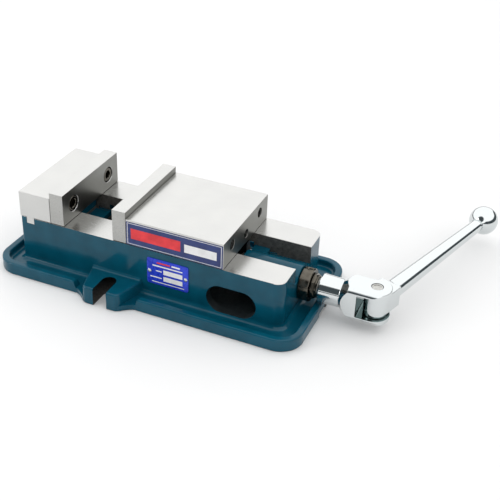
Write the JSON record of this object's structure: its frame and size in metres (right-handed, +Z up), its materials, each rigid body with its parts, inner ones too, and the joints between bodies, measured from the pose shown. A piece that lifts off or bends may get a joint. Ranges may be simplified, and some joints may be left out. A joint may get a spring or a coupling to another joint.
{
  "type": "machine vise",
  "caption": "Milling machine vise with ground jaws on a bed with a flanged, slotted base, a screw-driven sliding jaw and a folding ball-ended crank handle.",
  "frame": {"origin": "on the resting face, under the middle of the fixed jaw's clamping face", "axes": "+X along the screw towards the handle, +Y across the vise, +Z up from the resting face"},
  "size_m": [0.5423, 0.3583, 0.1084],
  "materials": {
    "paint": "glossy dark teal enamel over cast iron",
    "ground_steel": "surface-ground steel",
    "plain_steel": "turned steel",
    "black_oxide": "oiled black oxide",
    "cast_nut": "machined cast iron",
    "bronze": "machined bronze",
    "chrome": "polished chrome plate",
    "aluminium": "satin",
    "printed_blue": "printed blue and silver aluminium",
    "printed_navy": "printed vinyl"
  },
  "bodies": {
    "base": {"base_casting": "paint", "fixed_jaw": "ground_steel", "fixed_jaw_plate": "ground_steel", "fixed_plate_screw_front": "black_oxide", "fixed_plate_screw_rear": "black_oxide", "fixed_jaw_bolt_front": "black_oxide", "fixed_jaw_bolt_rear": "black_oxide", "thrust_washer_outer": "plain_steel", "screw_bush": "bronze", "screw_end_bush": "bronze", "nameplate": "printed_blue", "nameplate_rivet_left": "aluminium", "nameplate_rivet_right": "aluminium"},
    "sliding_jaw": {"movable_jaw": "ground_steel", "movable_jaw_plate": "ground_steel", "movable_plate_screw_front": "black_oxide", "movable_plate_screw_rear": "black_oxide", "jaw_nut": "cast_nut", "lock_segment": "plain_steel", "jaw_adjusting_screw": "black_oxide", "side_decal": "printed_navy"},
    "screw": {"lead_screw": "plain_steel", "thrust_washer_inner": "plain_steel", "thrust_ball_cage": "bronze", "screw_collar": "black_oxide", "collar_set_screw": "black_oxide", "lock_ring": "black_oxide"},
    "handle": {"handle_hub": "chrome", "fork_pin": "plain_steel"},
    "lever": {"handle_lever": "chrome", "ball_knob": "chrome"}
  },
  "joints": [
    {"name": "screw_spin", "type": "hinge", "parent": "base", "child": "screw", "pos_m": [0.2, 0, 0.034], "axis": [1, 0, 0], "range_deg": [-4680, 4320]},
    {"name": "jaw_slide", "type": "slide", "parent": "base", "child": "sliding_jaw", "axis": [1, 0, 0], "range_m": [-0.0651, 0.0601]},
    {"name": "handle_pull", "type": "slide", "parent": "screw", "child": "handle", "axis": [1, 0, 0], "range_m": [0, 0.022]},
    {"name": "lever_fold", "type": "hinge", "parent": "handle", "child": "lever", "pos_m": [0.3655, 0, 0.034], "axis": [0, 0, 1], "range_deg": [-163, 17]}
  ],
  "couplings": [
    {"joint": "jaw_slide", "follows": "screw_spin", "m_per_rad": 0.00079577}
  ]
}
